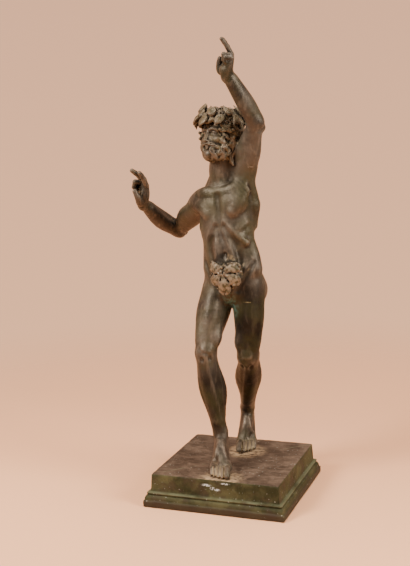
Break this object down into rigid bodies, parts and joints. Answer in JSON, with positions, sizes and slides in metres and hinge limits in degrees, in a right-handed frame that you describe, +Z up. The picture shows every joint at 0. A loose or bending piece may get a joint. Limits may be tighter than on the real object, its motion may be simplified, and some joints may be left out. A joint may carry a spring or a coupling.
{
  "type": "bronze faun statuette",
  "caption": "Bearded faun dancing on his toes, one arm raised and one held out, cast in bronze on a square moulded plinth.",
  "frame": {"origin": "middle of the plinth's underside", "axes": "+Z up; the figure faces -Y, so its left side is at +X"},
  "size_m": [0.1555, 0.128, 0.3977],
  "materials": {
    "brown_bronze": "dark brown patina, satin, rubbed lighter on the high places",
    "green_bronze": "brown top and olive green sides, satin, with dust in the mouldings"
  },
  "bodies": {
    "root": {"faun_figure": "brown_bronze", "plinth": "green_bronze"}
  },
  "joints": []
}
